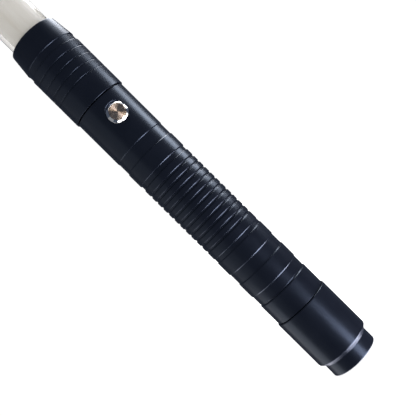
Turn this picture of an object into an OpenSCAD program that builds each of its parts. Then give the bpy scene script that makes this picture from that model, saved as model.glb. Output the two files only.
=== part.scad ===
// Illuminated cane: a translucent tube socketed in a ribbed metal handle with a push button.
// It stands upright: +Z runs along its axis and the origin is the centre of the end cap's flat end.
// The button faces -Y and the tube's retaining screw faces +Y.

/* [Light tube] */
// Outside diameter of the tube
tube_d = 25.4; // [20:0.1:32]
// Wall of the tube
tube_wall = 2; // [1:0.1:3]
// Length of the tube, from its seat in the head to the tip
tube_length = 800; // [200:5:1200]
// Depth of the socket that holds the tube
socket_depth = 37; // [25:0.5:45]
// Height of the rounded tip above the tube
tip_height = 12.5; // [6:0.5:16]
// Length of the tip's plug inside the tube
tip_plug = 8; // [5:0.5:15]
// Thickness of the rolled diffuser film
film_t = 0.25; // [0.2:0.05:0.5]

/* [Handle] */
// Wall of the barrel under its bands
barrel_wall = 2.4; // [2:0.1:4]
// Wall of the head around the tube
head_wall = 3.6; // [3:0.1:5]
// How far the end cap stands above the bands
cap_step = 0.6; // [0:0.1:1.5]
// Length of the end cap's outside
cap_length = 40.2; // [36:0.1:60]
// Length of the end cap's narrow boss
boss_length = 7.7; // [4:0.1:12]
// How far the boss is narrower than the cap, on radius
boss_step = 2.15; // [1:0.05:3]
// Distance between the grip's grooves
groove_pitch = 4.12; // [3:0.02:6]
// Number of grooves in the grip
groove_count = 11; // [6:1:14]
// Length of the plain section that carries the button
switch_section = 29.25; // [26:0.05:45]
// Length of the thread between the cap and the barrel
thread_length = 11.5; // [8:0.5:14]

/* [Battery] */
// Diameter of the cell
cell_d = 18.6; // [16:0.1:23]
// Length of the cell with its terminal
cell_length = 65; // [50:0.5:70]
// Thickness of the liner round the cell
liner_wall = 3.7; // [2:0.1:5]

/* [Button] */
// Diameter of the switch's threaded body
switch_d = 10; // [8:0.1:12]
// How far the bezel's rim stands out beyond the thread
bezel_lip = 0.85; // [0.5:0.05:2]
// Wall of the switch's body round the button
switch_wall = 0.65; // [0.6:0.05:1.5]
// How far the button travels
button_travel = 1.2; // [0.5:0.1:1.5]

/* [Hidden] */

$fn = 96;
coil_sides = 8;
coil_steps = 20;

// Clearances on radius
fit_gap = 0.05;
loose_gap = 0.25;
thread_gap = 0.3;
cut = 1;

// Radii that follow the cell
cell_r = cell_d / 2;
wrap_t = 0.1;
liner_bore_r = cell_r + wrap_t + loose_gap;
liner_r = liner_bore_r + liner_wall;
bore_r = liner_r + fit_gap;
band_r = bore_r + barrel_wall;

// Outline of the barrel: each section's length and how far it lies below the bands
edge = 0.4;
neck_drop = 0.4;
deep_drop = 0.6;
rib_drop = 0.1;
groove_w = 0.8;
groove_drop = 0.55;
grip_sections = concat(
    [[13.4, 0], [0.5, deep_drop], [5.9, neck_drop], [9.8, 0], [6.6, neck_drop]],
    [[9.2, 0], [2.4, neck_drop], [5.1, rib_drop]],
    [for (i = [1 : groove_count - 1], s = [[groove_w, groove_drop], [groove_pitch - groove_w, rib_drop]]) s],
    [[groove_w, groove_drop], [4.35, rib_drop], [2.5, deep_drop], [9.45, 0], [7.1, neck_drop]],
    [[switch_section, rib_drop]]);
barrel_length = length_to(grip_sections, len(grip_sections));
grip_r = band_r - rib_drop;

// Heights of the end cap and what it holds
barrel_z = cap_length;
cap_r = band_r + cap_step;
boss_r = cap_r - boss_step;
boss_fillet = 1.1;
cap_floor = 7.5;
seam = 0.15;
thread_r = bore_r + 0.5;
spigot_r = thread_r - thread_gap;
spigot_wall = 1.6;
pocket_r = spigot_r - spigot_wall;
ring_r = 0.6;
ring_z = barrel_z + 1.4;
ring_mid_r = thread_r - fit_gap - ring_r;
contact_r = 8;
contact_t = 1;
spring_length = 10.5;
spring_r = 5.5;
spring_wire_r = 0.5;
spring_turns = 5;
cell_z = cap_floor + contact_t + spring_length;
nub_h = 0.9;
nub_r = 3;
cell_top = cell_z + cell_length;

// Heights of the switch and the electronics
shoulder_z = barrel_z + barrel_length;
nut_across = switch_d + 4;
nut_corner_r = nut_across / 2 / cos(30);
nut_t = 2.5;
sink_drop = 1.75;
sink_z = shoulder_z - sink_drop;
ledge_t = 1.5;
switch_z = sink_z - ledge_t - nut_corner_r - 0.1;
carrier_t = 3.8;
brass_r = 4;
brass_t = 1.2;
rivet_r = 1.5;
disc_z = cell_top + brass_t;
chassis_z = disc_z + carrier_t;
chassis_top = switch_z - nut_corner_r - 2.5;
chassis_wall = 1.5;
board_t = 1.6;
board_y = 2;
board_z = chassis_z + 4;
board_top = chassis_top - 2;
chip_z = board_z + 10;
inductor_z = board_z + 23;
board_half_w = sqrt(pow(bore_r - fit_gap - chassis_wall, 2) - pow(board_y + board_t, 2)) - loose_gap;

// The switch, measured outwards from the axis
bezel_r = switch_d / 2 + bezel_lip;
bezel_seat = sqrt(pow(grip_r, 2) - pow(bezel_r, 2)) - fit_gap;
bezel_h = 1.8;
bezel_bevel = 0.7;
switch_r = switch_d / 2;
switch_depth = 13.5;
switch_back = bezel_seat - switch_depth;
button_r = switch_r - switch_wall - fit_gap;
button_proud = 0.2;
button_h = 2.5;
button_edge = 0.35;
bezel_face = bezel_seat + bezel_h;
button_face = bezel_face + button_proud;
well_depth = 8;
stem_r = 1.4;
stem_length = 7;
button_spring_r = 2.7;
button_spring_wire_r = 0.25;
button_spring_length = bezel_face - well_depth;
nut_seat = sqrt(pow(bore_r, 2) - pow(nut_corner_r, 2)) - fit_gap;
terminal_length = 4;
terminal_x = 2.2;

// The light engine in the front of the barrel
front_seam = 0.6;
seat_r = bore_r - 0.8;
ledge_r = seat_r - 1;
front_r = seat_r + 1.8;
front_length = 9.75;
front_top = shoulder_z + front_length;
sink_h = 5.5;
sink_r = seat_r - fit_gap;
fin_w = 1;
star_z = sink_z + sink_h;
star_r = 9;
star_t = 1.6;
emitter_w = 4.4;
emitter_t = 0.8;
dome_r = 1.8;
wire_r = 0.5;
wire_ring_r = star_r + wire_r + 0.1;
wire_angle = 35;
holder_bore_r = wire_ring_r + wire_r + 0.1;
holder_h = 7.3;
holder_top = star_z + holder_h;
lens_flange = 1.2;
lens_z = star_z + star_t + 0.5;
lens_foot_r = 4.6;
lens_pocket_r = 3.6;
lens_pocket_h = 2.6;

// The head and its tube
tube_r = tube_d / 2;
tube_bore_r = tube_r - tube_wall;
socket_r = tube_r + fit_gap;
counter_r = front_r + fit_gap;
head_r = max(socket_r + head_wall, counter_r + 1.9);
head_z = shoulder_z + front_seam;
ledge_z = holder_top + 0.2;
head_ledge_t = 1.5;
head_ledge_bore_r = tube_r - tube_wall - film_t - 1;
tube_z = ledge_z + head_ledge_t;
head_top = tube_z + socket_depth;
head_groove_w = 0.6;
head_groove_drop = 0.3;
head_groove_pitch = 5;
head_grooves = 4;
head_neck = 4;
head_neck_drop = 0.5;
cone_length = 12.9;
cone_drop = 1.5;
ring_band = head_groove_pitch * head_grooves;
plain_band = head_top - head_z - ring_band - head_neck - cone_length;
head_sections = concat(
    [[plain_band, 0]],
    [for (i = [1 : head_grooves], s = [[head_groove_w, head_groove_drop],
        [head_groove_pitch - head_groove_w, 0]]) s],
    [[head_neck, head_neck_drop]]);
mouth_edge = 0.5;
screw_r = 2;
screw_z = head_z + 25;
screw_sink = 0.4;
hex_across = 2;
head_ring_r = 0.5;
head_ring_z = shoulder_z + 2;
head_ring_mid_r = counter_r - fit_gap - head_ring_r;
tube_top = tube_z + tube_length;
film_r = tube_bore_r - loose_gap / 2;
film_margin = 2;
reflector_t = 0.5;
plug_r = tube_bore_r - fit_gap;

// Length of the first n sections of an outline
function length_to(sections, n) = n == 0 ? 0 : length_to(sections, n - 1) + sections[n - 1][0];

// How far section i lies below the surface; the outline's ends drop away by end_drop
function drop(sections, i, end_drop) = i < 0 || i >= len(sections) ? end_drop : sections[i][1];

// Chamfer where section i stands above section j
function bevel(sections, i, j, end_drop) =
    min(edge, max(0, drop(sections, j, end_drop) - drop(sections, i, end_drop)));

// Outline of turned sections from height z up: [radius, height] points
function turned(sections, r, z, end_drop) = [for (i = [0 : len(sections) - 1])
    let (lo = bevel(sections, i, i - 1, end_drop), hi = bevel(sections, i, i + 1, end_drop),
        z0 = z + length_to(sections, i), z1 = z0 + sections[i][0], s = r - sections[i][1])
    each [if (lo > 0) [s - lo, z0], [s, z0 + lo], [s, z1 - hi], if (hi > 0) [s - hi, z1]]];

// Round stretch of an outline: centre, radius and its two angles
function arc(x, z, r, from, to, steps = 12) =
    [for (i = [0 : steps]) let (a = from + (to - from) * i / steps) [x + r * cos(a), z + r * sin(a)]];

// Turns an outline of [radius, height] points about Z
module lathe(points) {
    rotate_extrude() polygon(points);
}

// A tube about Z
module pipe(r, bore, z, h) {
    difference() {
        translate([0, 0, z]) cylinder(r = r, h = h);
        translate([0, 0, z - cut]) cylinder(r = bore, h = h + 2 * cut);
    }
}

// A ring of round section about Z
module ring(mid_r, section_r, z) {
    translate([0, 0, z]) rotate_extrude() translate([mid_r, 0]) circle(r = section_r);
}

// A path with each inner corner rounded: the corner gives way to three points, b from it at the ends
function unit(v) = v / norm(v);
function rounded(path, b) = [for (i = [0 : len(path) - 1]) each
    i == 0 || i == len(path) - 1 ? [path[i]] :
    let (p = path[i], a = p + b * unit(path[i - 1] - p), c = p + b * unit(path[i + 1] - p))
    [a, (a + c) / 4 + p / 2, c]];

// A round wire swept along a path; no run of the path may lie along X
module wire(path, r) {
    points = rounded(path, 2 * r);
    n = len(points);
    rings = [for (i = [0 : n - 1])
        let (t = unit(points[min(i + 1, n - 1)] - points[max(i - 1, 0)]), u = unit(cross(t, [1, 0, 0])),
            v = cross(t, u))
        for (j = [0 : coil_sides - 1]) let (b = 360 * j / coil_sides)
        points[i] + r * cos(b) * u + r * sin(b) * v];
    swept(rings, n - 1);
}

// A closed solid through rings of coil_sides points each
module swept(rings, steps) {
    sides = [for (i = [0 : steps - 1], j = [0 : coil_sides - 1])
        let (k = (j + 1) % coil_sides, p = i * coil_sides, q = p + coil_sides)
        [p + j, q + j, q + k, p + k]];
    first = [for (j = [0 : coil_sides - 1]) j];
    last = [for (j = [coil_sides - 1 : -1 : 0]) steps * coil_sides + j];
    polyhedron(points = rings, faces = concat(sides, [first, last]));
}

// A coil spring about Z, from height 0 to h over its wire's outside
module coil(mid_r, wire_r, h, turns) {
    steps = turns * coil_steps;
    rise = (h - 2 * wire_r) / steps;
    points = [for (i = [0 : steps], j = [0 : coil_sides - 1])
        let (a = 360 * i / coil_steps, b = 360 * j / coil_sides, s = mid_r + wire_r * cos(b))
        [s * cos(a), s * sin(a), wire_r + rise * i + wire_r * sin(b)]];
    swept(points, steps);
}

// Turns a shape that is built along +Z to point out of the barrel at the button
module outwards() {
    translate([0, 0, switch_z]) rotate([90, 0, 0]) children();
}

module end_cap() {
    outside = concat(
        [[0, 0]],
        arc(boss_r - boss_fillet, boss_fillet, boss_fillet, -90, 0),
        [[boss_r, boss_length], [cap_r - edge, boss_length + boss_step - edge]],
        [[cap_r, boss_length + boss_step], [cap_r, barrel_z - edge], [cap_r - edge, barrel_z - seam]]);
    spigot = [[spigot_r, barrel_z - seam], [spigot_r, barrel_z + thread_length - edge],
        [spigot_r - edge, barrel_z + thread_length], [pocket_r, barrel_z + thread_length]];
    color([0.07, 0.08, 0.11]) difference() {
        lathe(concat(outside, spigot, [[pocket_r, cap_floor], [0, cap_floor]]));
        difference() {
            translate([0, 0, ring_z - ring_r - fit_gap]) cylinder(r = thread_r, h = 2 * (ring_r + fit_gap));
            translate([0, 0, ring_z - 2 * ring_r]) cylinder(r = ring_mid_r - ring_r, h = 4 * ring_r);
        }
    }
}

module cap_o_ring() {
    color([0.08, 0.08, 0.08]) ring(ring_mid_r, ring_r, ring_z);
}

module tail_contact() {
    color([0.8, 0.65, 0.3]) translate([0, 0, cap_floor]) cylinder(r = contact_r, h = contact_t);
}

module tail_spring() {
    color([0.8, 0.8, 0.82]) translate([0, 0, cap_floor + contact_t])
        coil(spring_r, spring_wire_r, spring_length, spring_turns);
}

module battery_cell() {
    groove_h = 0.8;
    neck_z = cell_top - nub_h - 3;
    color([0.75, 0.75, 0.77]) lathe([[0, cell_z], [cell_r - edge, cell_z], [cell_r, cell_z + edge],
        [cell_r, neck_z], [cell_r - edge, neck_z + groove_h / 2], [cell_r, neck_z + groove_h],
        [cell_r, cell_top - nub_h - edge], [cell_r - edge, cell_top - nub_h], [nub_r, cell_top - nub_h],
        [nub_r, cell_top], [0, cell_top]]);
}

module battery_wrap() {
    color([0.2, 0.45, 0.7]) pipe(cell_r + wrap_t, cell_r, cell_z + 1, cell_length - 6);
}

module barrel() {
    outside = turned(grip_sections, band_r, barrel_z, edge / 2);
    front = [[front_r, shoulder_z], [front_r, front_top - edge], [front_r - edge, front_top]];
    inside = [[seat_r, front_top], [seat_r, sink_z], [ledge_r, sink_z], [ledge_r, sink_z - ledge_t / 2],
        [bore_r, sink_z - ledge_t], [bore_r, barrel_z + thread_length + cut],
        [thread_r, barrel_z + thread_length + cut], [thread_r, barrel_z]];
    color([0.07, 0.08, 0.11]) difference() {
        lathe(concat(outside, front, inside));
        difference() {
            translate([0, 0, head_ring_z - head_ring_r - fit_gap])
                cylinder(r = front_r + cut, h = 2 * (head_ring_r + fit_gap));
            translate([0, 0, head_ring_z - 2 * head_ring_r])
                cylinder(r = head_ring_mid_r - head_ring_r, h = 4 * head_ring_r);
        }
        outwards() cylinder(r = switch_r + fit_gap, h = band_r + cut);
        outwards() translate([0, 0, bezel_seat]) cylinder(r = bezel_r + fit_gap, h = band_r);
    }
}

module battery_liner() {
    liner_z = barrel_z + thread_length + 1.5;
    color([0.15, 0.15, 0.15]) difference() {
        pipe(liner_r, liner_bore_r, liner_z, disc_z - liner_z);
        translate([0, liner_r, 0]) cylinder(r = liner_wall / 2, h = disc_z);
    }
}

module contact_carrier() {
    color([0.2, 0.2, 0.2]) difference() {
        pipe(liner_r, rivet_r + fit_gap, disc_z, carrier_t);
        translate([0, liner_r, disc_z - cut]) cylinder(r = liner_wall / 2, h = carrier_t + 2 * cut);
    }
}

module front_contact() {
    color([0.8, 0.65, 0.3]) {
        translate([0, 0, cell_top]) cylinder(r = brass_r, h = brass_t);
        translate([0, 0, cell_top]) cylinder(r = rivet_r, h = brass_t + carrier_t + 1);
    }
}

module board_carrier() {
    chassis_r = bore_r - fit_gap;
    rail_w = 1.5;
    rail_r = chassis_r - chassis_wall / 2;
    color([0.12, 0.12, 0.12]) {
        intersection() {
            pipe(chassis_r, chassis_r - chassis_wall, chassis_z, chassis_top - chassis_z);
            translate([-bore_r, -board_y, chassis_z]) cube([2 * bore_r, 2 * bore_r, chassis_top]);
        }
        for (side = [0, 1], y = [board_y - rail_w, board_y + board_t + fit_gap])
            mirror([side, 0, 0]) intersection() {
                translate([0, 0, chassis_z]) cylinder(r = rail_r, h = chassis_top - chassis_z);
                translate([board_half_w - rail_w, y, chassis_z]) cube([bore_r, rail_w, chassis_top]);
            }
    }
}

module driver_board() {
    color([0.05, 0.3, 0.12]) difference() {
        translate([-board_half_w, board_y, board_z]) cube([2 * board_half_w, board_t, board_top - board_z]);
        for (side = [-1, 1]) translate([side * (board_half_w - 3), board_y - cut, board_z + 3])
            rotate([-90, 0, 0]) cylinder(r = 1, h = board_t + 2 * cut, $fn = 32);
    }
}

module control_chip() {
    w = 6;
    h = 1.2;
    color([0.05, 0.05, 0.05]) translate([-w / 2, board_y - h, chip_z]) cube([w, h, w]);
}

module power_inductor() {
    r = 3.5;
    h = 3;
    color([0.2, 0.2, 0.22]) translate([0, board_y, inductor_z]) rotate([90, 0, 0]) {
        cylinder(r = r, h = h);
        translate([-r, -r, 0]) cube([2 * r, 2 * r, h / 3]);
    }
}

module wire_connector() {
    size = [9, 4, 5];
    color([0.9, 0.9, 0.85]) translate([-size[0] / 2, board_y - size[1], board_top - size[2] - 1]) cube(size);
}

module switch_body() {
    color([0.75, 0.75, 0.78]) outwards() difference() {
        union() {
            translate([0, 0, switch_back]) cylinder(r = switch_r, h = switch_depth);
            lathe([[0, bezel_seat], [bezel_r, bezel_seat], [bezel_r, bezel_face - bezel_bevel],
                [bezel_r - bezel_bevel, bezel_face], [0, bezel_face]]);
        }
        translate([0, 0, bezel_face - well_depth]) cylinder(r = button_r + fit_gap, h = well_depth + cut);
        translate([0, 0, switch_back + 1]) cylinder(r = stem_r + loose_gap, h = switch_depth);
    }
}

module switch_cap() {
    top = button_face;
    low = button_face - button_h;
    color([0.7, 0.68, 0.66]) outwards() lathe([[0, low - stem_length], [stem_r, low - stem_length],
        [stem_r, low], [button_r, low], [button_r, top - button_edge], [button_r - button_edge, top],
        [0, top]]);
}

module switch_nut() {
    color([0.75, 0.75, 0.78]) outwards() translate([0, 0, nut_seat - nut_t]) difference() {
        rotate(30) cylinder(r = nut_corner_r, h = nut_t, $fn = 6);
        translate([0, 0, -cut]) cylinder(r = switch_r + fit_gap, h = nut_t + 2 * cut);
    }
}

// Drawn at its pressed length, so that the button clears it
module switch_spring() {
    rest_length = button_face - button_h - button_spring_length;
    color([0.8, 0.8, 0.82]) outwards() translate([0, 0, button_spring_length])
        coil(button_spring_r, button_spring_wire_r, rest_length - button_travel - loose_gap, 4);
}

module switch_terminals() {
    color([0.8, 0.65, 0.3]) for (side = [-1, 1])
        outwards() translate([side * terminal_x - 0.9, -0.25, switch_back - terminal_length])
            cube([1.8, 0.5, terminal_length]);
}

module switch_wires() {
    plug_z = board_top - 1;
    color([0.7, 0.1, 0.1]) for (side = [-1, 1]) wire([
        [side * terminal_x, terminal_length - switch_back - 1, switch_z - 0.25 - wire_r],
        [side * terminal_x, terminal_length - switch_back - 1, switch_z - 8],
        [side * terminal_x, board_y - 2, plug_z + 3],
        [side * terminal_x, board_y - 2, plug_z]], wire_r);
}

module led_wires() {
    in_r = star_r - 2.5;
    solder_z = star_z + star_t + wire_r + loose_gap;
    color([0.1, 0.1, 0.1]) for (side = [-1, 1])
        let (a = 90 - side * wire_angle, out = [wire_ring_r * cos(a), wire_ring_r * sin(a)])
        wire([
            [side * 3.4, board_y + board_t + wire_r, board_top - 3],
            [side * 3.4, board_y + board_t + wire_r, board_top + 1],
            [out[0], out[1], switch_z - 1],
            [out[0], out[1], solder_z],
            [in_r * cos(a), in_r * sin(a), solder_z]], wire_r);
}

module battery_wire() {
    rivet_top = disc_z + carrier_t + 1;
    color([0.7, 0.1, 0.1]) wire([[0, 0, rivet_top], [0, 0, rivet_top + 2.2],
        [0, board_y - wire_r, board_z + 3], [0, board_y - wire_r, board_z + 5]], wire_r);
}

module heat_sink() {
    color([0.8, 0.8, 0.82]) difference() {
        translate([0, 0, sink_z]) cylinder(r = sink_r, h = sink_h);
        for (side = [-1, 1]) rotate(90 - side * wire_angle) translate([wire_ring_r, 0, sink_z - cut])
            cylinder(r = wire_r + fit_gap, h = sink_h + 2 * cut, $fn = 32);
        for (i = [-2 : 2]) translate([i * 3 * fin_w - fin_w / 2, -sink_r - cut, sink_z - cut])
            cube([fin_w, 2 * (sink_r + cut), 2.5 + cut]);
    }
}

module led_board() {
    color([0.9, 0.9, 0.9]) translate([0, 0, star_z]) difference() {
        cylinder(r = star_r, h = star_t);
        for (i = [0 : 5]) rotate(60 * i + 30) translate([star_r, 0, -cut])
            cylinder(r = 1.4, h = star_t + 2 * cut, $fn = 32);
    }
}

module led_emitter() {
    color([0.95, 0.9, 0.6]) translate([0, 0, star_z + star_t]) {
        translate([-emitter_w / 2, -emitter_w / 2, 0]) cube([emitter_w, emitter_w, emitter_t]);
        intersection() {
            translate([0, 0, emitter_t]) sphere(r = dome_r);
            cylinder(r = emitter_w, h = emitter_w);
        }
    }
}

module lens_holder() {
    color([0.1, 0.1, 0.1]) pipe(sink_r, holder_bore_r, star_z, holder_h);
}

module lens() {
    lens_r = holder_bore_r - fit_gap;
    color([0.85, 0.9, 0.95]) lathe([[0, lens_z + lens_pocket_h], [lens_pocket_r, lens_z + lens_pocket_h],
        [lens_pocket_r, lens_z], [lens_foot_r, lens_z], [lens_r - 1, holder_top - lens_flange],
        [lens_r, holder_top - lens_flange], [lens_r, holder_top], [0, holder_top]]);
}

module head_collar() {
    outside = turned(head_sections, head_r, head_z, edge);
    cone_z = head_top - cone_length;
    front = [[head_r - edge / 4, cone_z], [head_r - cone_drop + edge / 2, head_top - edge],
        [head_r - cone_drop - edge / 2, head_top], [socket_r + mouth_edge, head_top]];
    inside = [[socket_r, head_top - mouth_edge], [socket_r, tube_z], [head_ledge_bore_r, tube_z],
        [head_ledge_bore_r, ledge_z], [counter_r, ledge_z], [counter_r, head_z]];
    color([0.07, 0.08, 0.11]) difference() {
        lathe(concat(outside, front, inside));
        translate([0, 0, screw_z]) rotate([-90, 0, 0]) cylinder(r = screw_r + fit_gap, h = head_r + cut);
    }
}

module head_o_ring() {
    color([0.08, 0.08, 0.08]) ring(head_ring_mid_r, head_ring_r, head_ring_z);
}

module retaining_screw() {
    length = head_r - screw_sink - tube_r - fit_gap;
    color([0.3, 0.3, 0.32]) translate([0, tube_r + fit_gap, screw_z]) rotate([-90, 0, 0]) difference() {
        lathe([[0, 0], [screw_r - 0.6, 0], [screw_r, 0.6], [screw_r, length], [0, length]]);
        translate([0, 0, length / 2]) cylinder(r = hex_across / 2 / cos(30), h = length, $fn = 6);
    }
}

module light_tube() {
    color([0.93, 0.91, 0.86]) pipe(tube_r, tube_bore_r, tube_z, tube_length);
}

module diffuser_film() {
    color([0.95, 0.95, 0.95]) pipe(film_r, film_r - film_t, tube_z + film_margin,
        tube_length - tip_plug - reflector_t - 2 * film_margin);
}

module tube_tip() {
    dome = [for (i = [0 : 16]) let (a = 90 * i / 16) [tube_r * cos(a), tube_top + tip_height * sin(a)]];
    color([0.95, 0.94, 0.9]) lathe(concat([[0, tube_top - tip_plug], [plug_r - edge, tube_top - tip_plug],
        [plug_r, tube_top - tip_plug + edge], [plug_r, tube_top]], dome));
}

module tip_reflector() {
    color([0.85, 0.85, 0.87]) translate([0, 0, tube_top - tip_plug - reflector_t])
        cylinder(r = film_r, h = reflector_t);
}

end_cap();
cap_o_ring();
tail_contact();
tail_spring();
battery_cell();
battery_wrap();
barrel();
battery_liner();
contact_carrier();
front_contact();
board_carrier();
driver_board();
control_chip();
power_inductor();
wire_connector();
switch_body();
switch_cap();
switch_nut();
switch_spring();
switch_terminals();
switch_wires();
led_wires();
battery_wire();
heat_sink();
led_board();
led_emitter();
lens_holder();
lens();
head_collar();
head_o_ring();
retaining_screw();
light_tube();
diffuser_film();
tube_tip();
tip_reflector();
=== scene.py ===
import math

import bpy
import bmesh
from mathutils import Matrix, Vector


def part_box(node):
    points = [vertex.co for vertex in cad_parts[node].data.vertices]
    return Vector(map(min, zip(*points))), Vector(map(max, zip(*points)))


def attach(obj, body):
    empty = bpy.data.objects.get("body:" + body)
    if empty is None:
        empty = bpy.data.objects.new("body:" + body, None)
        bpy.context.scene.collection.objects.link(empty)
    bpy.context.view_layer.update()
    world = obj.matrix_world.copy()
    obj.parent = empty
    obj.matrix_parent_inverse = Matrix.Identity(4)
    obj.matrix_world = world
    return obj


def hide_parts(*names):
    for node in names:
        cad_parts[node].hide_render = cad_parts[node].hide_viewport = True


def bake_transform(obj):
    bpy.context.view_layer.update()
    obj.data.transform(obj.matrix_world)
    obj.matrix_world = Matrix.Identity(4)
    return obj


# Looks of the illuminated cane: a translucent tube in a ribbed black handle with a push button.
# Outlines and sizes are in millimetres and turn about Z; the meshes are made in metres.

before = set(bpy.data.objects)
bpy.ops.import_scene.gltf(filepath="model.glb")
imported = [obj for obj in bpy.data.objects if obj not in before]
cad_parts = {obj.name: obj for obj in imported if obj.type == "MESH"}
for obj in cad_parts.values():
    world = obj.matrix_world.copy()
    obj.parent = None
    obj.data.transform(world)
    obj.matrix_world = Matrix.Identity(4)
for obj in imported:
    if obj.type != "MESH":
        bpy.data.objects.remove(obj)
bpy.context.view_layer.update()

MM, MICRON = 0.001, 0.000001
MERGE_DISTANCE = 2 * MICRON
SEGMENTS = 256
FINE_SEGMENTS = 160
CUTTER_SEGMENTS = 96
HELIX_SEGMENTS = 72
FILLET_STEPS = 5
SMALL_FILLET, SMALL_FILLET_STEPS = 0.2, 2
LARGEST_REACH = 0.45
SHARP_ANGLE = 35
SHADING_WEIGHT = 80
FIT = 0.05


# ---------------------------------------------------------------- sizes taken from the frame
def measure(node):
    """Largest radius about Z and the two ends of a CAD node, in millimetres."""
    low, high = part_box(node)
    radius = max(-low.x, high.x, -low.y, high.y)
    return radius / MM, low.z / MM, high.z / MM


def middle(node):
    """Centre of a CAD node's box, in millimetres."""
    low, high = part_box(node)
    return (low + high) / (2 * MM)


# ---------------------------------------------------------------- outlines and solids
def round_corner(before, corner, after, radius):
    """Points that turn smoothly from one side of an outline's corner to the other."""
    back, ahead = before - corner, after - corner
    reach = min(radius, LARGEST_REACH * back.length, LARGEST_REACH * ahead.length)
    start = corner + back.normalized() * reach
    end = corner + ahead.normalized() * reach
    steps = FILLET_STEPS if radius > SMALL_FILLET else SMALL_FILLET_STEPS
    shares = [i / steps for i in range(steps + 1)]
    return [(1 - t) ** 2 * start + 2 * t * (1 - t) * corner + t * t * end for t in shares]


def smooth_outline(points, longest=4.0):
    """Rounds the corners of (radius, height, fillet) points and splits the long runs."""
    points = [p for p, last in zip(points, points[-1:] + points[:-1]) if p[:2] != last[:2]]
    corners = [Vector(p[:2]) for p in points]
    count = len(points)
    rounded = []
    for i, point in enumerate(points):
        fillet = point[2] if len(point) > 2 else 0
        if fillet and corners[i].x:
            ends = corners[i - 1], corners[(i + 1) % count]
            rounded += round_corner(ends[0], corners[i], ends[1], fillet)
        else:
            rounded.append(corners[i])
    split = []
    for here, there in zip(rounded, rounded[1:] + rounded[:1]):
        on_axis = here.x == 0 and there.x == 0
        parts = 1 if on_axis else max(1, math.ceil((there - here).length / longest))
        split += [here.lerp(there, k / parts) for k in range(parts)]
    return split


def edit_mesh(mesh, change):
    """Runs a change on a mesh's editable form and writes it back."""
    work = bmesh.new()
    work.from_mesh(mesh)
    change(work)
    work.to_mesh(mesh)
    work.free()


def face_outwards(work):
    bmesh.ops.recalc_face_normals(work, faces=work.faces)


def merge_slivers(work):
    bmesh.ops.remove_doubles(work, verts=work.verts, dist=MERGE_DISTANCE)
    bmesh.ops.dissolve_degenerate(work, edges=work.edges, dist=MERGE_DISTANCE)


def solid(name, vertices, faces):
    """A smooth-shaded mesh object, with its sharp edges kept."""
    mesh = bpy.data.meshes.new(name)
    mesh.from_pydata([Vector(v) * MM for v in vertices], [], faces)
    edit_mesh(mesh, face_outwards)
    made = bpy.data.objects.new(name, mesh)
    bpy.context.scene.collection.objects.link(made)
    shade(made)
    return made


def shade(piece):
    """Smooth shading that stays flat on flat faces and crisp at hard edges."""
    piece.data.shade_smooth()
    piece.data.set_sharp_from_angle(angle=math.radians(SHARP_ANGLE))
    if "even_shading" not in piece.modifiers:
        even = piece.modifiers.new("even_shading", "WEIGHTED_NORMAL")
        even.keep_sharp = True
        even.weight = SHADING_WEIGHT


def lathe(name, outline, segments=SEGMENTS):
    """Turns a closed outline of (radius, height) points about Z."""
    vertices, rings = [], []
    for point in outline:
        first = len(vertices)
        if point.x == 0:
            vertices.append((0, 0, point.y))
            rings.append([first] * segments)
            continue
        for k in range(segments):
            angle = 2 * math.pi * k / segments
            vertices.append((point.x * math.cos(angle), point.x * math.sin(angle), point.y))
        rings.append([first + k for k in range(segments)])
    faces = []
    for i, ring in enumerate(rings):
        following = rings[(i + 1) % len(rings)]
        if ring[0] == ring[1] and following[0] == following[1]:
            continue
        for k in range(segments):
            n = (k + 1) % segments
            corners = [ring[k], ring[n], following[n], following[k]]
            faces.append(list(dict.fromkeys(corners)))
    return solid(name, vertices, faces)


def helix(name, radius, section, turns, level, fullness=None):
    """Winds a section of (outwards, up) points about Z; level(share) gives its height."""
    steps = round(turns * HELIX_SEGMENTS)
    sides = len(section)
    vertices = []
    for i in range(steps + 1):
        share = i / steps
        angle = 2 * math.pi * turns * share
        full = fullness(share) if fullness else 1
        for out, up in section:
            r = radius + out * full
            height = level(share) + up * full
            vertices.append((r * math.cos(angle), r * math.sin(angle), height))
    faces = [list(range(sides)), list(range(steps * sides, (steps + 1) * sides))]
    for i in range(steps):
        for k in range(sides):
            n = (k + 1) % sides
            a, b = i * sides, (i + 1) * sides
            faces.append([a + k, a + n, b + n, b + k])
    return solid(name, vertices, faces)


def move_mesh(piece, matrix):
    """Places a piece by its vertices, so that its own axes stay those of the frame."""
    scaled = matrix.copy()
    scaled.translation = matrix.translation * MM
    piece.data.transform(scaled)
    return piece


def cut_away(piece, cutter):
    """Removes the cutter's volume from a piece."""
    cut = piece.modifiers.new("cut", "BOOLEAN")
    cut.object = cutter
    cut.operation = "DIFFERENCE"
    cut.solver = "EXACT"
    piece.modifiers.move(len(piece.modifiers) - 1, 0)
    even = piece.modifiers["even_shading"]
    even.show_viewport = False
    graph = bpy.context.evaluated_depsgraph_get()
    mesh = bpy.data.meshes.new_from_object(piece.evaluated_get(graph))
    edit_mesh(mesh, merge_slivers)
    piece.modifiers.remove(cut)
    even.show_viewport = True
    piece.data = mesh
    bpy.data.objects.remove(cutter)
    shade(piece)
    return piece


def drill(name, radius, low, high, segments=CUTTER_SEGMENTS):
    """A plain cylinder about Z, to cut a hole with."""
    outline = [(0, low), (radius, low), (radius, high), (0, high)]
    return lathe(name, smooth_outline(outline), segments)


def place(piece, material, body, slot, *nodes):
    """Gives a finished piece its material and its body, and hides the CAD nodes it stands for; the
    slot is not used.
    """
    piece.data.materials.clear()
    piece.data.materials.append(material)
    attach(piece, body)
    if nodes:
        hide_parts(*nodes)
    return piece


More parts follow.
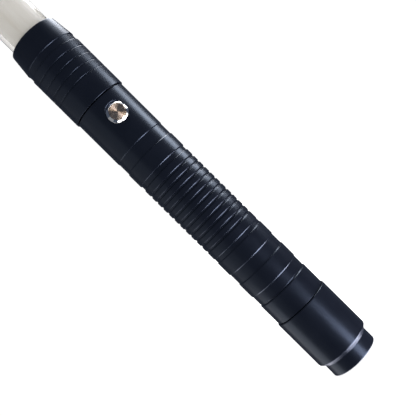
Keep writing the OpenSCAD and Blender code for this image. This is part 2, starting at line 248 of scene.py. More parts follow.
# ---------------------------------------------------------------- material building
def node(tree, kind, inputs=None, **settings):
    """Adds a shader node; each input is a plain value or another node's output."""
    made = tree.nodes.new("ShaderNode" + kind)
    for key, value in settings.items():
        setattr(made, key, value)
    for key, value in (inputs or {}).items():
        if isinstance(value, bpy.types.NodeSocket):
            tree.links.new(value, made.inputs[key])
        else:
            made.inputs[key].default_value = value
    return made


def blank(name):
    """A material with an empty node tree, its output and its object coordinates."""
    material = bpy.data.materials.new(name)
    material.use_nodes = True
    tree = material.node_tree
    tree.nodes.clear()
    output = tree.nodes.new("ShaderNodeOutputMaterial")
    return material, tree, output, node(tree, "TexCoord").outputs["Object"]


def noise(tree, where, scale, detail=3.0):
    """Cloudy noise from 0 to 1."""
    made = node(tree, "TexNoise", {"Vector": where, "Scale": scale, "Detail": detail,
                                   "Roughness": 0.55})
    return made.outputs["Fac"]


def stretched(tree, where, stretch):
    """Coordinates scaled by a factor along each axis, to draw a noise out into streaks."""
    return node(tree, "Mapping", {"Vector": where, "Scale": stretch}).outputs["Vector"]


def spread(tree, value, low, high, start=0.25, end=0.75):
    """Maps a value from the range start to end onto the range low to high."""
    made = node(tree, "MapRange", {"Value": value, "From Min": start, "From Max": end,
                                   "To Min": low, "To Max": high})
    return made.outputs["Result"]


def tint(tree, value, first, second):
    """Colour between two, by a value from 0 to 1."""
    ramp = tree.nodes.new("ShaderNodeValToRGB")
    tree.links.new(value, ramp.inputs["Fac"])
    ramp.color_ramp.elements[0].position = 0.3
    ramp.color_ramp.elements[0].color = (*first, 1)
    ramp.color_ramp.elements[1].position = 0.7
    ramp.color_ramp.elements[1].color = (*second, 1)
    return ramp.outputs["Color"]


def turning_marks(tree, where, per_metre):
    """Fine rings about Z on turned metal, along its length and out across its flat faces."""
    parts = node(tree, "SeparateXYZ", {"Vector": where}).outputs
    flat = node(tree, "CombineXYZ", {"X": parts["X"], "Y": parts["Y"]}).outputs["Vector"]
    radius = node(tree, "VectorMath", {0: flat}, operation="LENGTH").outputs["Value"]
    along = node(tree, "Math", {0: parts["Z"], 1: radius}, operation="ADD").outputs["Value"]
    made = node(tree, "TexNoise", {"W": along, "Scale": per_metre, "Detail": 2.0,
                                   "Roughness": 0.7}, noise_dimensions="1D")
    return made.outputs["Fac"]


def bump(tree, height, distance, normal=None):
    """Normal that follows a height, its depth in metres, on top of another bump if one is given."""
    inputs = {"Height": height, "Distance": distance, "Strength": 1.0}
    if normal:
        inputs["Normal"] = normal
    return node(tree, "Bump", inputs).outputs["Normal"]


def principled(tree, output, inputs):
    """Adds a principled shader with these inputs as the material's surface."""
    surface = node(tree, "BsdfPrincipled", inputs)
    tree.links.new(surface.outputs["BSDF"], output.inputs["Surface"])


def anodised():
    """Black anodised aluminium with a blue cast, turning marks and faint handling smears."""
    material, tree, output, where = blank("black_anodised_aluminium")
    clouds = noise(tree, where, 70)
    smears = noise(tree, stretched(tree, where, (1, 1, 0.35)), 260, 4)
    marks = turning_marks(tree, where, 3800)
    grain = noise(tree, where, 6000, 2)
    colour = tint(tree, clouds, (0.0024, 0.0030, 0.0060), (0.0036, 0.0043, 0.0080))
    roughness = spread(tree, smears, 0.27, 0.34)
    rings = bump(tree, marks, 2.8 * MICRON)
    normal = bump(tree, grain, 0.8 * MICRON, normal=rings)
    principled(tree, output, {
        "Base Color": colour, "Roughness": roughness, "Normal": normal, "IOR": 1.62,
        "Specular Tint": (0.62, 0.76, 1.0, 1)})
    return material


def metal(name, first, second, roughness, marks=None, depth=2 * MICRON):
    """Bare or plated metal with cloudy tone, uneven polish and optional turning marks."""
    material, tree, output, where = blank(name)
    clouds = noise(tree, where, 400)
    fine = noise(tree, where, 3600, 2)
    height = turning_marks(tree, where, marks) if marks else fine
    principled(tree, output, {
        "Base Color": tint(tree, clouds, first, second), "Metallic": 1.0,
        "Roughness": spread(tree, fine, roughness[0], roughness[1]),
        "Normal": bump(tree, height, depth)})
    return material


def plastic(name, first, second, roughness, scale=300):
    """Moulded plastic, rubber or lacquer with a fine grain and slight mottling."""
    material, tree, output, where = blank(name)
    clouds = noise(tree, where, scale)
    grain = noise(tree, where, scale * 14, 3)
    principled(tree, output, {
        "Base Color": tint(tree, clouds, first, second), "IOR": 1.5,
        "Roughness": spread(tree, clouds, roughness[0], roughness[1]),
        "Normal": bump(tree, grain, 6 * MICRON)})
    return material


def spun_steel():
    """Button face: turned steel whose fine circular scratches fan the light into sectors; its tan
    colour is a painted warm reflection.
    """
    material, tree, output, where = blank("spun_steel")
    clouds = noise(tree, where, 900)
    fine = noise(tree, where, 9000, 2)
    around = node(tree, "Tangent", direction_type="RADIAL", axis="Y").outputs["Tangent"]
    # The tan tint of the steel's colour is a painted warm reflection.
    principled(tree, output, {
        "Base Color": tint(tree, clouds, (0.62, 0.48, 0.37), (0.76, 0.60, 0.47)),
        "Metallic": 1.0, "Roughness": spread(tree, fine, 0.36, 0.42), "Anisotropic": 0.95,
        "Anisotropic Rotation": 0.25, "Tangent": around, "Normal": bump(tree, fine, 0.6 * MICRON)})
    return material


def clear_wall():
    """Clear polycarbonate with faint draw lines along its length."""
    material, tree, output, where = blank("clear_polycarbonate")
    lines = noise(tree, stretched(tree, where, (1, 1, 0.02)), 900, 3)
    principled(tree, output, {
        "Base Color": tint(tree, lines, (0.965, 0.96, 0.945), (0.985, 0.98, 0.97)),
        "Transmission Weight": 1.0, "IOR": 1.585,
        "Roughness": spread(tree, lines, 0.0, 0.015),
        "Normal": bump(tree, lines, 0.3 * MICRON)})
    smoke = node(tree, "VolumeAbsorption", {"Color": (0.62, 0.58, 0.52, 1), "Density": 70.0})
    tree.links.new(smoke.outputs["Volume"], output.inputs["Volume"])
    return material


def white_film():
    """Rolled diffusing film: creamy white, with soft lengthwise bands of beige and grey, and a
    faint painted glow.
    """
    material, tree, output, where = blank("diffuser_film")
    long_bands = noise(tree, stretched(tree, where, (1, 1, 0.12)), 140, 3)
    clouds = noise(tree, stretched(tree, where, (1, 1, 0.3)), 420, 4)
    colour = tint(tree, long_bands, (0.80, 0.78, 0.73), (0.97, 0.965, 0.95))
    normal = bump(tree, clouds, 20 * MICRON)
    # The faint emission is a painted glow that brightens the film; nothing lights it from inside.
    front = node(tree, "BsdfPrincipled", {
        "Base Color": colour, "Roughness": spread(tree, clouds, 0.35, 0.55), "Normal": normal,
        "Emission Color": colour, "Emission Strength": 0.05})
    through = node(tree, "BsdfTranslucent", {"Color": colour, "Normal": normal})
    share = spread(tree, long_bands, 0.05, 0.10)
    both = node(tree, "MixShader", {0: share, 1: front.outputs["BSDF"],
                                    2: through.outputs["BSDF"]})
    tree.links.new(both.outputs["Shader"], output.inputs["Surface"])
    return material


def frosted():
    """Frosted polycarbonate of the rounded tip."""
    material, tree, output, where = blank("frosted_polycarbonate")
    clouds = noise(tree, where, 220)
    grain = noise(tree, where, 5200, 3)
    principled(tree, output, {
        "Base Color": tint(tree, clouds, (0.90, 0.89, 0.865), (0.96, 0.955, 0.94)),
        "Transmission Weight": 0.75, "IOR": 1.585,
        "Roughness": spread(tree, clouds, 0.38, 0.55),
        "Normal": bump(tree, grain, 12 * MICRON)})
    return material


def glassy():
    """Clear moulded acrylic of the lens, with slight flow marks."""
    material, tree, output, where = blank("clear_acrylic")
    flow = noise(tree, where, 350)
    principled(tree, output, {
        "Base Color": tint(tree, flow, (0.96, 0.97, 0.975), (0.985, 0.99, 0.99)),
        "Transmission Weight": 1.0, "IOR": 1.49, "Roughness": spread(tree, flow, 0.0, 0.04),
        "Normal": bump(tree, flow, 6 * MICRON)})
    return material


def circuit_board(name, first, second, copper):
    """Solder-masked board with tracks that show through the lacquer."""
    material, tree, output, where = blank(name)
    cells = node(tree, "TexVoronoi", {"Vector": where, "Scale": 420.0}, feature="DISTANCE_TO_EDGE",
                 distance="EUCLIDEAN").outputs["Distance"]
    tracks = node(tree, "TexBrick", {
        "Vector": where, "Scale": 260.0, "Mortar Size": 0.06, "Color1": (*first, 1),
        "Color2": (*second, 1), "Mortar": (*copper, 1)}).outputs["Color"]
    principled(tree, output, {
        "Base Color": tracks, "Roughness": spread(tree, cells, 0.3, 0.5, 0.0, 0.4),
        "Normal": bump(tree, cells, 40 * MICRON)})
    return material


def make_materials():
    """Every finish of the cane, by the record's slot name."""
    return {
        "black_anodised": anodised(),
        "seal_rubber": plastic("seal_rubber", (0.012, 0.012, 0.012), (0.022, 0.022, 0.022),
                               (0.45, 0.6)),
        "contact_brass": metal("contact_brass", (0.62, 0.43, 0.17), (0.78, 0.58, 0.27),
                               (0.2, 0.34), marks=5200),
        "spring_steel": metal("spring_steel", (0.50, 0.50, 0.50), (0.66, 0.65, 0.64),
                              (0.2, 0.32)),
        "cell_steel": metal("cell_steel", (0.55, 0.55, 0.56), (0.70, 0.70, 0.71), (0.22, 0.35),
                            marks=3000),
        "cell_wrap": plastic("cell_wrap", (0.02, 0.10, 0.24), (0.03, 0.14, 0.31), (0.25, 0.4)),
        "black_nylon": plastic("black_nylon", (0.010, 0.010, 0.010), (0.02, 0.02, 0.02),
                               (0.4, 0.58)),
        "board_green": circuit_board("board_green", (0.01, 0.09, 0.035), (0.012, 0.11, 0.045),
                                     (0.05, 0.21, 0.06)),
        "chip_black": plastic("chip_black", (0.012, 0.012, 0.013), (0.028, 0.028, 0.03),
                              (0.35, 0.5), 900),
        "connector_white": plastic("connector_white", (0.68, 0.66, 0.58), (0.78, 0.76, 0.69),
                                   (0.35, 0.5)),
        "switch_chrome": metal("switch_chrome", (0.80, 0.80, 0.80), (0.90, 0.895, 0.88),
                               (0.035, 0.075), depth=0.4 * MICRON),
        "switch_spun_steel": spun_steel(),
        "wire_red": plastic("wire_red", (0.35, 0.015, 0.012), (0.45, 0.025, 0.02), (0.3, 0.45)),
        "wire_black": plastic("wire_black", (0.010, 0.010, 0.010), (0.022, 0.022, 0.022),
                              (0.3, 0.45)),
        "bare_aluminium": metal("bare_aluminium", (0.62, 0.62, 0.63), (0.76, 0.76, 0.77),
                                (0.25, 0.4), marks=2600),
        "board_white": circuit_board("board_white", (0.74, 0.74, 0.73), (0.80, 0.80, 0.79),
                                     (0.66, 0.63, 0.52)),
        "led_yellow": plastic("led_yellow", (0.82, 0.62, 0.12), (0.88, 0.72, 0.22), (0.15, 0.3),
                              900),
        "clear_lens": glassy(),
        "screw_steel": metal("screw_steel", (0.045, 0.045, 0.05), (0.09, 0.09, 0.095),
                             (0.3, 0.45), marks=4000),
        "frosted_tube": clear_wall(),
        "diffuser_white": white_film(),
        "frosted_tip": frosted(),
        "reflector_silver": metal("reflector_silver", (0.80, 0.80, 0.81), (0.90, 0.90, 0.90),
                                  (0.08, 0.2)),
    }


# ---------------------------------------------------------------- the turned metal pieces
EDGE, HEAD_EDGE, SOFT_EDGE, FINE = 0.4, 0.16, 0.14, 0.1
CAP_SEAM, BOSS_STEP, BOSS_LENGTH, CAP_FLOOR, POCKET_R = 0.15, 2.15, 7.7, 7.5, 12.0
SPIGOT_R, THREAD_BORE_R, THREAD_RELIEF = 13.6, 13.9, 1.0
THREAD_PITCH, THREAD_HEIGHT, THREAD_WIDTH = 2.0, 0.24, 0.9
THREAD_FOOT, THREAD_CREST, THREAD_TAPER, THINNEST = 0.08, 0.17, 0.06, 0.05
CAP_THREAD_GAP, BARREL_THREAD_GAP, THREAD_END_GAP = 3.2, 3.4, 0.6
RING_DEPTHS = {"cap": 0.95, "head": 0.9}
SINK_DROP, FRONT_LENGTH, LEDGE_DEPTH = 1.75, 9.75, 1.5
FRONT_R, SEAT_R, LEDGE_R, BORE_R = 14.4, 12.6, 11.6, 13.4
SWITCH_R, SCREW_R, HEX_ACROSS, SCREW_HOLE_START = 5.0, 2.0, 2.0, 5


def end_cap_outline(cap, barrel):
    """Cap with its narrow boss, hollow inside, and the spigot that screws into the barrel."""
    cap_r, base, spigot_top = cap
    joint = barrel[1]
    boss_r, boss_top = cap_r - BOSS_STEP, base + BOSS_LENGTH
    floor = base + CAP_FLOOR
    ring_low, ring_high, ring_r = joint + 0.75, joint + 2.05, SPIGOT_R - RING_DEPTHS["cap"]
    return [
        (0, base), (boss_r, base, 0.7), (boss_r, boss_top, 0.25),
        (cap_r, boss_top + BOSS_STEP, 0.45), (cap_r, joint - CAP_SEAM, 0.55),
        (SPIGOT_R, joint - CAP_SEAM, FINE), (SPIGOT_R, ring_low, FINE),
        (ring_r, ring_low, FINE), (ring_r, ring_high, FINE), (SPIGOT_R, ring_high, FINE),
        (SPIGOT_R, spigot_top, 0.5), (POCKET_R, spigot_top, 0.2), (POCKET_R, floor, 0.3),
        (0, floor)]


# Each turned section has a length and a drop below the barrel's widest surface.
NECK_DROP, DEEP_DROP, RIB_DROP, GROOVE_DROP = 0.4, 0.6, 0.1, 0.58
GROOVE_WIDTH, GROOVE_PITCH, GROOVES = 0.8, 4.12, 11
REAR_SECTIONS = [(13.4, 0), (0.5, DEEP_DROP), (5.9, NECK_DROP), (9.8, 0), (6.6, NECK_DROP),
                 (9.2, 0), (2.4, NECK_DROP), (5.1, RIB_DROP)]
FRONT_SECTIONS = [(4.35, RIB_DROP), (2.5, DEEP_DROP), (9.45, 0), (7.1, NECK_DROP),
                  (29.25, RIB_DROP)]


def grip_sections():
    """Length and drop of each turned section of the barrel, from the cap to the head."""
    groove, rib = (GROOVE_WIDTH, GROOVE_DROP), (GROOVE_PITCH - GROOVE_WIDTH, RIB_DROP)
    ribs = [groove, rib] * (GROOVES - 1) + [groove]
    return REAR_SECTIONS + ribs + FRONT_SECTIONS


def turned(sections, surface_r, start, end_drop, edge=EDGE):
    """Outline points of turned sections, from height start upwards, with chamfered steps."""
    points, height = [], start
    for i, (length, drop) in enumerate(sections):
        before = sections[i - 1][1] if i else end_drop
        after = sections[i + 1][1] if i + 1 < len(sections) else end_drop
        radius, top = surface_r - drop, height + length
        low, high = (min(edge, max(0, other - drop)) for other in (before, after))
        low, high = round(low, 4), round(high, 4)
        for level, inset in ((height, low), (height + low, 0), (top - high, 0), (top, high)):
            point = (round(radius - inset, 4), round(level, 4), SOFT_EDGE)
            if not points or point != points[-1]:
                points.append(point)
        height = top
    return points


def barrel_outline(barrel, cap):
    """Barrel: turned grip outside, threaded spigot for the head, stepped bore inside."""
    band_r, start, front_top = barrel
    shoulder = front_top - FRONT_LENGTH
    sink = shoulder - SINK_DROP
    ledge_low, thread_end = sink - LEDGE_DEPTH, cap[2] + THREAD_RELIEF
    ring_low, ring_high, ring_r = shoulder + 1.45, shoulder + 2.55, FRONT_R - RING_DEPTHS["head"]
    outside = turned(grip_sections(), band_r, start, EDGE / 2)
    spigot = [(FRONT_R, shoulder, FINE), (FRONT_R, ring_low, FINE), (ring_r, ring_low, FINE),
              (ring_r, ring_high, FINE), (FRONT_R, ring_high, FINE), (FRONT_R, front_top, 0.4)]
    inside = [(SEAT_R, front_top, 0.15), (SEAT_R, sink, FINE), (LEDGE_R, sink, FINE),
              (LEDGE_R, sink - LEDGE_DEPTH / 2, FINE), (BORE_R, ledge_low, FINE),
              (BORE_R, thread_end, FINE), (THREAD_BORE_R, thread_end, FINE),
              (THREAD_BORE_R, start, 0.2)]
    return outside + spigot + inside


HEAD_GROOVE_WIDTH, HEAD_GROOVE_DROP, HEAD_GROOVE_PITCH, HEAD_GROOVES = 0.6, 0.32, 5.0, 4
HEAD_NECK, HEAD_NECK_DROP, CONE_LENGTH, CONE_DROP = 4.0, 0.5, 12.9, 1.5


def head_outline(head, tube):
    """Head: ringed band, neck, cone and the socket that the tube slides into."""
    head_r, start, top = head
    rings = HEAD_GROOVE_PITCH * HEAD_GROOVES
    plain = top - start - rings - HEAD_NECK - CONE_LENGTH
    groove = [(HEAD_GROOVE_WIDTH, HEAD_GROOVE_DROP),
              (HEAD_GROOVE_PITCH - HEAD_GROOVE_WIDTH, 0)]
    sections = [(plain, 0)] + groove * HEAD_GROOVES + [(HEAD_NECK, HEAD_NECK_DROP)]
    outside = turned(sections, head_r, start, EDGE, edge=HEAD_EDGE)
    socket_r, ledge_bore, counter_r = tube[0] + FIT, 9.45, 14.45
    seat, mouth = tube[1], 0.45
    ledge_low = seat - LEDGE_DEPTH
    cone = [(head_r - 0.1, top - CONE_LENGTH + 0.15, 0.3), (head_r - CONE_DROP, top, 0.5)]
    inside = [(socket_r + mouth, top, 0.15), (socket_r, top - mouth, 0.15), (socket_r, seat, FINE),
              (ledge_bore, seat, FINE), (ledge_bore, ledge_low, FINE), (counter_r, ledge_low, FINE),
              (counter_r, start, 0.25)]
    return outside + cone + inside


def thread_section(height):
    """Section of a thread ridge; its foot lies inside the metal it stands on."""
    foot = -THREAD_FOOT if height > 0 else THREAD_FOOT
    half, crest = THREAD_WIDTH / 2, THREAD_WIDTH * THREAD_CREST
    return [(foot, -half), (height, -crest), (height, crest), (foot, half)]


def thread(name, radius, height, start, end, phase):
    """A screw thread's ridge about Z, tapering out at its ends."""
    turns = (end - start) / THREAD_PITCH

    def fullness(share):
        return max(THINNEST, min(1, share / THREAD_TAPER, (1 - share) / THREAD_TAPER))

    ridge = helix(name, radius, thread_section(height), turns,
                  lambda share: start + THREAD_PITCH * turns * share, fullness)
    return move_mesh(ridge, Matrix.Rotation(phase, 4, "Z"))


def turned_threads(radius, start, end, pitch, depth, fillet):
    """Outline of ring-shaped threads from start up, as far as whole ones fit below end."""
    points, height = [], start
    while height + pitch < end:
        points += [(radius, height, fillet), (radius - depth, height + pitch / 2, fillet)]
        height += pitch
    return points + [(radius, height, fillet)]


def outwards(distance_up):
    """Placement that points a piece turned about Z out of the barrel at the button."""
    return Matrix.Translation((0, 0, distance_up)) @ Matrix.Rotation(math.radians(90), 4, "X")


def rear_facing(distance_up):
    """Placement that points a piece turned about Z out of the head's back."""
    return Matrix.Translation((0, 0, distance_up)) @ Matrix.Rotation(math.radians(-90), 4, "X")


def build_end_cap(finishes, cap, barrel):
    piece = lathe("end_cap_turned", smooth_outline(end_cap_outline(cap, barrel)))
    place(piece, finishes["black_anodised"], "end_cap", "black_anodised", "end_cap")
    ridge = thread("end_cap_thread", SPIGOT_R, THREAD_HEIGHT, barrel[1] + CAP_THREAD_GAP,
                   cap[2] - THREAD_END_GAP, 0)
    place(ridge, finishes["black_anodised"], "end_cap", "black_anodised")


def build_barrel(finishes, barrel, cap, switch):
    outline = smooth_outline(barrel_outline(barrel, cap), longest=2.4)
    piece = lathe("barrel_turned", outline)
    hole = drill("hole_cutter", SWITCH_R + FIT, HOLE_START, HOLE_END)
    cut_away(piece, move_mesh(hole, outwards(switch["z"])))
    pocket = drill("seat_cutter", switch["bezel_r"] + POCKET_FIT, switch["seat"], HOLE_END)
    cut_away(piece, move_mesh(pocket, outwards(switch["z"])))
    place(piece, finishes["black_anodised"], "handle", "black_anodised", "barrel")
    ridge = thread("barrel_thread", THREAD_BORE_R, -THREAD_HEIGHT, barrel[1] + BARREL_THREAD_GAP,
                   cap[2] - THREAD_END_GAP, math.pi)
    place(ridge, finishes["black_anodised"], "handle", "black_anodised")


def build_head(finishes, head, tube):
    piece = lathe("head_turned", smooth_outline(head_outline(head, tube), longest=1.5))
    hole = drill("screw_cutter", SCREW_R + FIT, SCREW_HOLE_START, HOLE_END, segments=64)
    cut_away(piece, move_mesh(hole, rear_facing(middle("retaining_screw").z)))
    place(piece, finishes["black_anodised"], "handle", "black_anodised", "head_collar")


def build_retaining_screw(finishes):
    """Cone-pointed set screw with a hexagon socket."""
    low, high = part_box("retaining_screw")
    start, end = low.y / MM, high.y / MM
    point, rim = 0.6, 0.15
    threads = turned_threads(SCREW_R, start + 0.7, end - 0.3, pitch=0.5, depth=0.2, fillet=0.05)
    outline = [(0, start), (SCREW_R - point, start, FINE), (SCREW_R, start + point, 0.05)]
    outline += threads + [(SCREW_R, end - rim), (SCREW_R - rim, end), (0, end)]
    piece = lathe("retaining_screw_turned", smooth_outline(outline), CUTTER_SEGMENTS)
    socket_r = HEX_ACROSS / 2 / math.cos(math.radians(30))
    cut_away(piece, drill("socket_cutter", socket_r, (start + end) / 2, end + 1, segments=6))
    move_mesh(piece, rear_facing(middle("retaining_screw").z))
    place(piece, finishes["screw_steel"], "retaining_screw", "screw_steel", "retaining_screw")


# ---------------------------------------------------------------- the push switch
BEZEL_HEIGHT, BEZEL_SLOPE, BEZEL_LIP = 1.8, 1.2, 0.15
WELL_DEPTH, STEM_BORE_R, POCKET_FIT = 8.0, 1.65, 0.07
STEM_R, BUTTON_HEIGHT, BUTTON_DISH = 1.4, 2.5, 0.09
HOLE_START, HOLE_END = 8, 20


def measure_switch():
    """Sizes of the switch, outwards from the axis, in millimetres."""
    low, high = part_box("switch_body")
    cap_low, cap_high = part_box("switch_cap")
    bezel_r = high.x / MM
    return {"z": (low.z + high.z) / 2 / MM, "bezel_r": bezel_r, "face": -low.y / MM,
            "back": -high.y / MM, "seat": -low.y / MM - BEZEL_HEIGHT, "button_r": cap_high.x / MM,
            "button_face": -cap_low.y / MM, "stem_end": -cap_high.y / MM}


def build_switch_body(finishes, switch):
    """Threaded body with a polished, sloping bezel."""
    face, seat, back = switch["face"], switch["seat"], switch["back"]
    bezel_r, well_r = switch["bezel_r"], switch["button_r"] + FIT
    chamfer, well_floor = 0.4, face - WELL_DEPTH
    threads = turned_threads(SWITCH_R, back + 0.8, seat - 0.4, pitch=0.75, depth=0.3, fillet=0.1)
    outline = [(STEM_BORE_R, back, FINE), (SWITCH_R - chamfer, back), (SWITCH_R, back + chamfer)]
    outline += threads + [
        (SWITCH_R, seat), (bezel_r, seat, FINE), (bezel_r, face - BEZEL_SLOPE, 0.2),
        (well_r + BEZEL_LIP, face, 0.25), (well_r, face - 2 * BEZEL_LIP, 0.15),
        (well_r, well_floor, FINE), (STEM_BORE_R, well_floor, FINE)]
    piece = lathe("switch_bezel", smooth_outline(outline), FINE_SEGMENTS)
    move_mesh(piece, outwards(switch["z"]))
    place(piece, finishes["switch_chrome"], "handle", "switch_chrome", "switch_body")


def build_button(finishes, switch):
    """Button: a slightly dished spun face on a stem."""
    face, radius = switch["button_face"], switch["button_r"]
    low, stem_end = face - BUTTON_HEIGHT, switch["stem_end"]
    crown_r, dish_r = radius * 0.72, radius * 0.3
    outline = [(0, stem_end), (STEM_R, stem_end, 0.2), (STEM_R, low, FINE), (radius, low, 0.2),
               (radius, face - 0.02, 0.42), (crown_r, face, 0.6), (dish_r, face - 0.06, 0.5),
               (0, face - BUTTON_DISH)]
    piece = lathe("button_cap", smooth_outline(outline, 0.8), FINE_SEGMENTS)
    move_mesh(piece, outwards(switch["z"]))
    place(piece, finishes["switch_spun_steel"], "button", "switch_spun_steel", "switch_cap")


# ---------------------------------------------------------------- the tube
TUBE_WALL = 2.0
FILM_THICKNESS, FILM_LEAN = 0.25, 0.2
LONG_RUN = 40
DOME_STEPS = 24


def build_tube(finishes, tube, film):
    """Clear wall with the rolled film inside, which leans on one side of the bore."""
    radius, low, high = tube
    bore = radius - TUBE_WALL
    outline = [(radius, low, 0.2), (radius, high, 0.15), (bore, high, 0.15), (bore, low, 0.2)]
    piece = lathe("tube_wall", smooth_outline(outline, LONG_RUN))
    place(piece, finishes["frosted_tube"], "light_tube", "frosted_tube", "light_tube")
    film_r, film_low, film_high = film
    inner = film_r - FILM_THICKNESS
    outline = [(film_r, film_low), (film_r, film_high), (inner, film_high), (inner, film_low)]
    piece = lathe("film_roll", smooth_outline(outline, LONG_RUN))
    move_mesh(piece, Matrix.Translation(ACROSS * FILM_LEAN))
    place(piece, finishes["diffuser_white"], "light_tube", "diffuser_white", "diffuser_film")


def build_tip(finishes, tip, tube):
    radius, plug_low, top = tip
    shoulder = tube[2]
    plug_r = radius - TUBE_WALL - FIT
    angles = [math.pi / 2 * i / DOME_STEPS for i in range(DOME_STEPS)]
    dome = [(radius * math.cos(angle), shoulder + (top - shoulder) * math.sin(angle))
            for angle in angles]
    outline = [(0, plug_low), (plug_r, plug_low, 0.5), (plug_r, shoulder, FINE)] + dome + [(0, top)]
    piece = lathe("tip_dome", smooth_outline(outline))
    place(piece, finishes["frosted_tip"], "light_tube", "frosted_tip", "tube_tip")


# ---------------------------------------------------------------- springs and inner pieces
SPRING_WIRE_R, SPRING_TURNS, SPRING_CLOSED, WIRE_SIDES = 0.5, 6, 0.12, 12


def spring_level(low, high):
    """Height of the wire's middle by its share of the turns; the first and last lie closed."""
    def level(share):
        run = max(0, min(1, (share - SPRING_CLOSED) / (1 - 2 * SPRING_CLOSED)))
        closed = min(share, SPRING_CLOSED) + max(0, share - 1 + SPRING_CLOSED)
        ends = SPRING_WIRE_R * closed / SPRING_CLOSED
        return low + SPRING_WIRE_R + ends + (high - low - 4 * SPRING_WIRE_R) * run
    return level


def build_tail_spring(finishes):
    """Coil between the cap and the cell."""
    radius, low, high = measure("tail_spring")
    angles = [2 * math.pi * k / WIRE_SIDES for k in range(WIRE_SIDES)]
    section = [(SPRING_WIRE_R * math.cos(a), SPRING_WIRE_R * math.sin(a)) for a in angles]
    piece = helix("tail_spring_coil", radius - SPRING_WIRE_R, section, SPRING_TURNS,
                  spring_level(low, high))
    piece.data.materials.append(finishes["spring_steel"])
    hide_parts("tail_spring")
    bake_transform(piece)


INNER_FINISHES = {
    "seal_rubber": ["cap_o_ring", "head_o_ring"],
    "contact_brass": ["tail_contact", "front_contact", "switch_terminals"],
    "spring_steel": ["switch_spring"],
    "cell_steel": ["battery_cell"],
    "cell_wrap": ["battery_wrap"],
    "black_nylon": ["battery_liner", "contact_carrier", "board_carrier", "lens_holder"],
    "board_green": ["driver_board"],
    "chip_black": ["control_chip", "power_inductor"],
    "connector_white": ["wire_connector"],
    "switch_chrome": ["switch_nut"],
    "wire_red": ["switch_wires", "battery_wire"],
    "wire_black": ["led_wires"],
    "bare_aluminium": ["heat_sink"],
    "board_white": ["led_board"],
    "led_yellow": ["led_emitter"],
    "clear_lens": ["lens"],
    "reflector_silver": ["tip_reflector"],
}


def dress_inner_pieces(finishes):
    """Finishes for the CAD pieces that are kept as they are."""
    for slot, names in INNER_FINISHES.items():
        for name in names:
            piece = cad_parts[name]
            piece.data.materials.clear()
            piece.data.materials.append(finishes[slot])


# ---------------------------------------------------------------- camera, floor and light
VIEW_TURN = math.radians(-13.5)
VIEW_ROLL = math.radians(45.3)
VIEW_DISTANCE, VIEW_HEIGHT, VIEW_SHIFT = 0.3636, 0.1096, 0.0013
LENS_LENGTH, SENSOR_WIDTH = 59.7, 36
FLOOR_REACH = 6.0
BACK = Vector((math.sin(VIEW_TURN), -math.cos(VIEW_TURN), 0))
ACROSS = Vector((math.cos(VIEW_TURN), math.sin(VIEW_TURN), 0))
UP = Vector((0, 0, 1))


def make_camera():
    """Camera level with the handle and rolled, so that the cane runs across the picture."""
    lens = bpy.data.cameras.new("camera")
    lens.lens, lens.sensor_width = LENS_LENGTH, SENSOR_WIDTH
    lens.clip_start, lens.clip_end = 0.01, 50
    camera = bpy.data.objects.new("camera", lens)
    right = math.cos(VIEW_ROLL) * ACROSS - math.sin(VIEW_ROLL) * UP
    upward = math.sin(VIEW_ROLL) * ACROSS + math.cos(VIEW_ROLL) * UP
    turn = Matrix((right, upward, BACK)).transposed().to_4x4()
    turn.translation = BACK * VIEW_DISTANCE + ACROSS * VIEW_SHIFT + UP * VIEW_HEIGHT
    camera.matrix_world = turn
    bpy.context.scene.collection.objects.link(camera)
    bpy.context.scene.camera = camera


def make_floor():
    """Pale studio floor that glows a little, so that it stays white round the object."""
    far = FLOOR_REACH
    mesh = bpy.data.meshes.new("floor")
    corners = [(-far, -far, 0), (far, -far, 0), (far, far, 0), (-far, far, 0)]
    mesh.from_pydata(corners, [], [(0, 1, 2, 3)])
    floor = bpy.data.objects.new("floor", mesh)
    bpy.context.scene.collection.objects.link(floor)
    material, tree, output, where = blank("pale_floor")
    clouds = noise(tree, where, 3)
    principled(tree, output, {
        "Base Color": tint(tree, clouds, (0.86, 0.86, 0.86), (0.90, 0.90, 0.90)),
        "Roughness": spread(tree, clouds, 0.6, 0.7), "Emission Color": (1, 1, 1, 1),
        "Emission Strength": 0.6})
    mesh.materials.append(material)
    floor.visible_glossy = floor.visible_diffuse = floor.visible_shadow = False


def make_world():
    """White behind the object, and a dim room for what it reflects."""
    world = bpy.data.worlds.new("studio")
    world.use_nodes = True
    tree = world.node_tree
    tree.nodes.clear()
    output = tree.nodes.new("ShaderNodeOutputWorld")
    path = node(tree, "LightPath").outputs
    seen = node(tree, "Math", {0: path["Is Camera Ray"], 1: path["Is Transmission Ray"]},
                operation="MAXIMUM").outputs["Value"]
    room = node(tree, "Background", {"Color": (0.60, 0.72, 1.0, 1), "Strength": 0.12})
    glow = node(tree, "Background", {"Color": (1, 0.99, 0.97, 1), "Strength": 1.0})
    white = node(tree, "Background", {"Color": (1, 1, 1, 1), "Strength": 1.05})
    lit = node(tree, "MixShader", {0: path["Is Diffuse Ray"], 1: room.outputs["Background"],
                                   2: glow.outputs["Background"]})
    both = node(tree, "MixShader", {0: seen, 1: lit.outputs["Shader"],
                                    2: white.outputs["Background"]})
    tree.links.new(both.outputs["Shader"], output.inputs["Surface"])
    bpy.context.scene.world = world


def softbox(name, bearing, distance, height, size, radiance, aim, colour):
    """Rectangular light at a bearing from the camera's side, which faces a height on the axis."""
    light = bpy.data.lights.new(name, "AREA")
    light.shape = "RECTANGLE"
    light.size, light.size_y = size
    light.energy = radiance * math.pi * size[0] * size[1]
    light.color = colour
    box = bpy.data.objects.new(name, light)
    angle = math.radians(bearing)
    place_at = (math.cos(angle) * BACK + math.sin(angle) * ACROSS) * distance + UP * height
    box.rotation_mode = "QUATERNION"
    box.rotation_quaternion = (UP * aim - place_at).to_track_quat("-Z", "Y")
    box.location = place_at
    box.visible_camera = False
    bpy.context.scene.collection.objects.link(box)
    return box


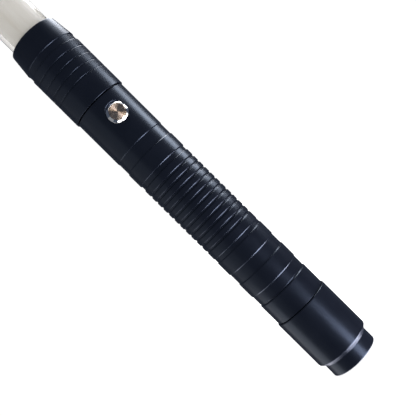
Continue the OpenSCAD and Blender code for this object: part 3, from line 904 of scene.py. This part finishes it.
# Name, bearing in degrees, distance, height, size, radiance, height aimed at and colour.
SOFTBOXES = [
    ("key_softbox", 102, 0.50, 0.22, (0.22, 0.19), 6.8, 0.22, (0.93, 0.96, 1.0)),
    ("key_top_softbox", 102, 0.50, 0.46, (0.24, 0.24), 1.1, 0.46, (0.93, 0.96, 1.0)),
    ("upper_softbox", 132, 0.34, 0.50, (0.26, 0.26), 8.5, 0.12, (0.95, 0.96, 1.0)),
    ("low_panel", 36, 0.36, -0.24, (0.20, 0.34), 7.4, 0.10, (0.88, 0.88, 1.0)),
    ("base_panel", 88, 0.11, -0.26, (0.24, 0.24), 13.0, 0.0, (0.90, 0.88, 1.0)),
    ("base_left_panel", -125, 0.17, -0.20, (0.24, 0.20), 2.6, 0.0, (0.92, 0.90, 1.0)),
    ("left_softbox", -80, 0.80, 0.20, (1.20, 0.60), 0.20, 0.20, (1.0, 0.98, 0.93)),
    ("low_left_softbox", -100, 0.50, -0.20, (0.40, 0.36), 1.0, -0.20, (1.0, 0.98, 0.96)),
]

# The same, with heights from the middle of the button, at which they all aim.
BUTTON_LIGHTS = [
    ("button_softbox", 46, 0.43, -0.17, (0.14, 0.12), 5.8, (1.0, 0.90, 0.76)),
    ("bezel_top_softbox", 62, 0.28, 0.42, (0.42, 0.30), 2.6, (1, 1, 1)),
    ("bezel_left_panel", -28, 0.24, -0.36, (0.24, 0.18), 2.6, (1, 1, 1)),
    ("bezel_low_panel", 44, 0.19, -0.46, (0.26, 0.26), 3.0, (1, 1, 1)),
    ("bezel_side_panel", 84, 0.36, -0.36, (0.22, 0.20), 3.0, (1, 1, 1)),
]


def make_lights():
    for values in SOFTBOXES:
        softbox(*values)


def make_button_lights():
    """Small lights that only the button and its bezel take, for their bright crescents."""
    pieces = [bpy.data.objects[name] for name in ("switch_bezel", "button_cap")]
    level = middle("switch_cap").z * MM
    for name, bearing, distance, height, size, radiance, colour in BUTTON_LIGHTS:
        box = softbox(name, bearing, distance, level + height, size, radiance, level, colour)
        taken_by = bpy.data.collections.new(name + "_takers")
        for piece in pieces:
            taken_by.objects.link(piece)
        box.light_linking.receiver_collection = taken_by


def set_colours():
    """Plain colour rendering, without a filmic curve."""
    view = bpy.context.scene.view_settings
    view.view_transform = "Standard"
    view.look = "None"
    view.exposure, view.gamma = 0, 1


def build():
    """Every visible piece of the cane."""
    finishes = make_materials()
    cap, barrel, head = measure("end_cap"), measure("barrel"), measure("head_collar")
    tube, film, tip = measure("light_tube"), measure("diffuser_film"), measure("tube_tip")
    switch = measure_switch()
    build_end_cap(finishes, cap, barrel)
    build_barrel(finishes, barrel, cap, switch)
    build_head(finishes, head, tube)
    build_retaining_screw(finishes)
    build_switch_body(finishes, switch)
    build_button(finishes, switch)
    build_tube(finishes, tube, film)
    build_tip(finishes, tip, tube)
    build_tail_spring(finishes)
    dress_inner_pieces(finishes)


build()
make_camera()
make_floor()
make_world()
make_lights()
make_button_lights()
set_colours()
